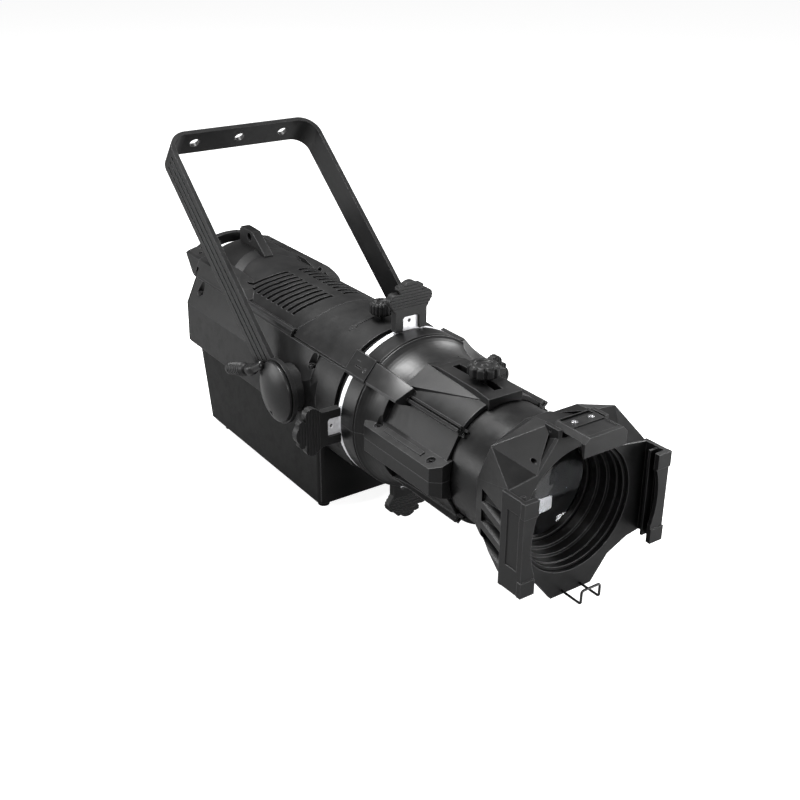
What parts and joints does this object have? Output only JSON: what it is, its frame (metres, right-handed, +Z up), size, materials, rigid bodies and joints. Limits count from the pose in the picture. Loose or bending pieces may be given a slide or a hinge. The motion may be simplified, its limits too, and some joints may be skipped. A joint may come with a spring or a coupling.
{
  "type": "ellipsoidal spotlight",
  "caption": "Theatre profile spotlight with a yoke, rotating lens barrel, sliding focus tube, framing shutters and an accessory holder.",
  "frame": {"origin": "on the surface under the feet, below the middle of the whole object's box", "axes": "-Y is the beam direction, +X is to the right seen from the front, +Z is up"},
  "size_m": [0.273, 0.6934, 0.3744],
  "materials": {
    "cast_housing": "black powder coat on die-cast aluminium",
    "sheet_black": "black textured powder coat on sheet steel",
    "yoke_black": "satin black powder coat on steel bar",
    "barrel_black": "black glass-filled moulding, satin",
    "tube_black": "black glass-filled tube, satin outside and matt inside",
    "hub_black": "smooth black moulding",
    "handle_black": "ribbed black nylon",
    "stainless": "brushed stainless steel",
    "plain_steel": "plain steel",
    "black_fixings": "blackened steel",
    "latch_black": "black coated steel",
    "bright_rivets": "bright steel",
    "optic_glass": "coated optical glass",
    "bare_aluminium": "bare aluminium",
    "led_board": "white board with a yellow emitter",
    "board_green": "green circuit board",
    "fan_black": "black moulding",
    "feet_rubber": "black rubber",
    "display_smoke": "smoked window",
    "button_grey": "dark grey keys",
    "socket_black": "black connector moulding",
    "power_blue": "blue connector moulding",
    "power_white": "light grey connector moulding"
  },
  "bodies": {
    "lamp_house": {"top_shell": "cast_housing", "front_cover": "cast_housing", "lower_shell": "cast_housing", "rear_handle": "cast_housing", "safety_eye": "cast_housing", "pivot_bosses": "cast_housing", "driver_box": "sheet_black", "rear_panel": "sheet_black", "engine_tube": "tube_black", "friction_washers": "plain_steel", "pivot_bolts": "plain_steel", "housing_screws": "black_fixings", "condenser_lens": "optic_glass", "heat_sink": "bare_aluminium", "power_supply": "bare_aluminium", "led_module": "led_board", "control_board": "board_green", "fan_frame": "fan_black", "rubber_feet": "feet_rubber", "display_window": "display_smoke", "data_sockets": "socket_black", "fuse_holder": "socket_black", "power_inlet": "power_blue", "power_outlet": "power_white"},
    "yoke": {"yoke": "yoke_black", "pivot_cap_right": "hub_black"},
    "tilt_lock": {"lock_disc_left": "hub_black", "lock_lever": "hub_black", "lever_grip": "handle_black"},
    "barrel": {"gate_ring": "stainless", "gate_plates": "plain_steel", "bearing_ring": "tube_black", "barrel_upper": "barrel_black", "barrel_lower": "barrel_black", "barrel_screws": "black_fixings", "index_blocks": "barrel_black", "guide_clips": "black_fixings"},
    "lens_carriage": {"lens_tube": "tube_black", "front_lens": "optic_glass", "rear_lens": "optic_glass", "lens_rings": "tube_black", "accessory_holder": "barrel_black", "wire_clip": "black_fixings"},
    "latch": {"accessory_latch": "latch_black", "latch_rivets": "bright_rivets"},
    "focus_knob": {"focus_knob": "handle_black"},
    "rotation_lock": {"rotation_lock_knob": "handle_black"},
    "fan": {"fan_rotor": "fan_black"},
    "shutter_top": {"shutter_blade_top": "stainless", "shutter_handle_top": "handle_black"},
    "shutter_left": {"shutter_blade_left": "stainless", "shutter_handle_left": "handle_black"},
    "shutter_bottom": {"shutter_blade_bottom": "stainless", "shutter_handle_bottom": "handle_black"},
    "shutter_right": {"shutter_blade_right": "stainless", "shutter_handle_right": "handle_black"},
    "button_1": {"menu_button_1": "button_grey"},
    "button_2": {"menu_button_2": "button_grey"},
    "button_3": {"menu_button_3": "button_grey"},
    "button_4": {"menu_button_4": "button_grey"}
  },
  "joints": [
    {"name": "yoke_tilt", "type": "hinge", "parent": "lamp_house", "child": "yoke", "pos_m": [0, 0.04365, 0.143], "axis": [1, 0, 0], "range_deg": [-75, 95]},
    {"name": "tilt_lock_turn", "type": "hinge", "parent": "yoke", "child": "tilt_lock", "pos_m": [-0.105, 0.04365, 0.143], "axis": [1, 0, 0], "range_deg": [-60, 20]},
    {"name": "barrel_rotation", "type": "hinge", "parent": "lamp_house", "child": "barrel", "pos_m": [0, -0.04435, 0.143], "axis": [0, 1, 0], "range_deg": [-25, 25]},
    {"name": "focus_slide", "type": "slide", "parent": "barrel", "child": "lens_carriage", "axis": [0, 1, 0], "range_m": [-0.018, 0.036]},
    {"name": "focus_knob_turn", "type": "hinge", "parent": "lens_carriage", "child": "focus_knob", "pos_m": [0, -0.18235, 0.223], "axis": [0, 0, 1], "range_deg": [-180, 180]},
    {"name": "rotation_lock_turn", "type": "hinge", "parent": "lamp_house", "child": "rotation_lock", "pos_m": [0, -0.01035, 0.233], "axis": [0, 0, 1], "range_deg": [-180, 180]},
    {"name": "shutter_top_slide", "type": "slide", "parent": "barrel", "child": "shutter_top", "axis": [0, 0, 1], "range_m": [0, 0.036]},
    {"name": "shutter_left_slide", "type": "slide", "parent": "barrel", "child": "shutter_left", "axis": [-1, 0, 0], "range_m": [0, 0.036]},
    {"name": "shutter_bottom_slide", "type": "slide", "parent": "barrel", "child": "shutter_bottom", "axis": [0, 0, -1], "range_m": [0, 0.036]},
    {"name": "shutter_right_slide", "type": "slide", "parent": "barrel", "child": "shutter_right", "axis": [1, 0, 0], "range_m": [0, 0.036]},
    {"name": "latch_hinge", "type": "hinge", "parent": "lens_carriage", "child": "latch", "pos_m": [0, -0.30835, 0.2235], "axis": [-1, 0, 0], "range_deg": [0, 95]},
    {"name": "button_1_press", "type": "slide", "parent": "lamp_house", "child": "button_1", "axis": [0, -1, 0], "range_m": [0, 0.0012], "stiffness_N_per_m": 300, "springref_m": -0.001},
    {"name": "button_2_press", "type": "slide", "parent": "lamp_house", "child": "button_2", "axis": [0, -1, 0], "range_m": [0, 0.0012], "stiffness_N_per_m": 300, "springref_m": -0.001},
    {"name": "button_3_press", "type": "slide", "parent": "lamp_house", "child": "button_3", "axis": [0, -1, 0], "range_m": [0, 0.0012], "stiffness_N_per_m": 300, "springref_m": -0.001},
    {"name": "button_4_press", "type": "slide", "parent": "lamp_house", "child": "button_4", "axis": [0, -1, 0], "range_m": [0, 0.0012], "stiffness_N_per_m": 300, "springref_m": -0.001},
    {"name": "fan_spin", "type": "hinge", "parent": "lamp_house", "child": "fan", "pos_m": [0, 0.15365, 0.141], "axis": [0, 1, 0], "continuous": true}
  ]
}
